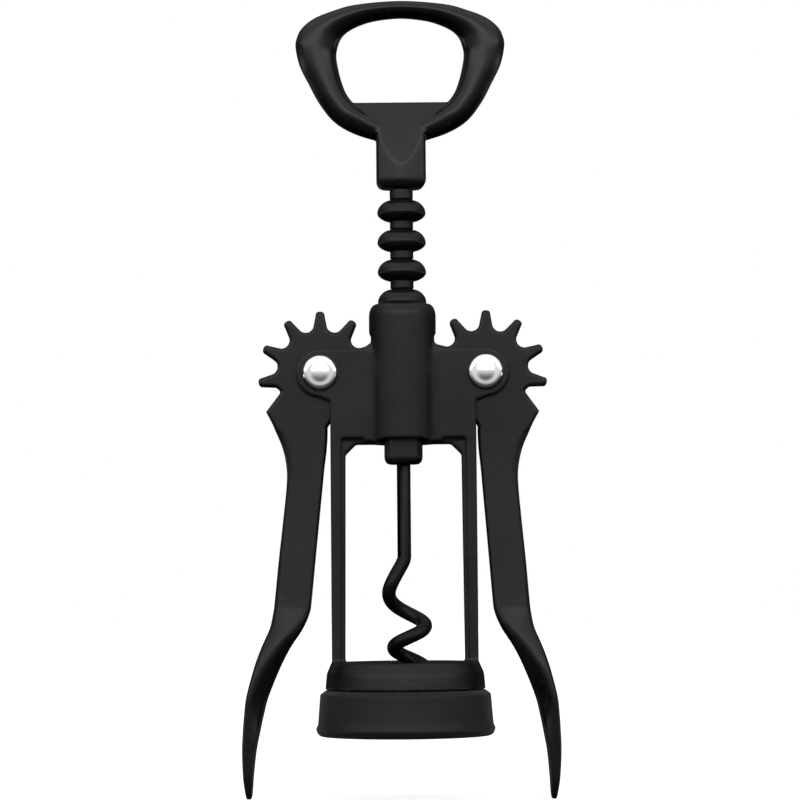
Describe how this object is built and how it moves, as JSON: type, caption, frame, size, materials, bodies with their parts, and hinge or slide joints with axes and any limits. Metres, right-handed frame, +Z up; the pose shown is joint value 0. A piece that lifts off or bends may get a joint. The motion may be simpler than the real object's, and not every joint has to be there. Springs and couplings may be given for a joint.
{
  "type": "wing corkscrew",
  "caption": "Wing corkscrew: geared levers on a bell frame lift a ringed rack, worm and opener-loop handle.",
  "frame": {"origin": "on the spindle axis at the level of the closed lever tips", "axes": "+Z up the spindle to the handle, +X towards the right lever, the pictured front faces -Y"},
  "size_m": [0.0671, 0.0378, 0.1699],
  "materials": {
    "coat": "matte black powder coat",
    "worm": "satin black low-friction coat",
    "collar": "matte black moulded",
    "rivet": "polished"
  },
  "bodies": {
    "frame": {"frame": "coat", "bell_collar": "collar", "left_rivet": "rivet", "right_rivet": "rivet"},
    "rack": {"rack_sleeve": "coat"},
    "spindle": {"handle": "coat", "worm": "worm", "worm_ferrule": "coat"},
    "left_lever": {"left_lever": "coat"},
    "right_lever": {"right_lever": "coat"}
  },
  "joints": [
    {"name": "rack_slide", "type": "slide", "parent": "frame", "child": "rack", "axis": [0, 0, -1], "range_m": [0, 0.0236]},
    {"name": "handle_turn", "type": "hinge", "parent": "rack", "child": "spindle", "pos_m": [0, 0, 0.12], "axis": [0, 0, 1], "continuous": true},
    {"name": "left_lever_pivot", "type": "hinge", "parent": "frame", "child": "left_lever", "pos_m": [-0.0175, 0, 0.0898], "axis": [0, 1, 0], "range_deg": [0, 121.5]},
    {"name": "right_lever_pivot", "type": "hinge", "parent": "frame", "child": "right_lever", "pos_m": [0.0175, 0, 0.0898], "axis": [0, 1, 0], "range_deg": [-121.5, 0]}
  ],
  "couplings": [
    {"joint": "left_lever_pivot", "follows": "rack_slide", "rad_per_m": 89.811},
    {"joint": "right_lever_pivot", "follows": "rack_slide", "rad_per_m": -89.811}
  ]
}
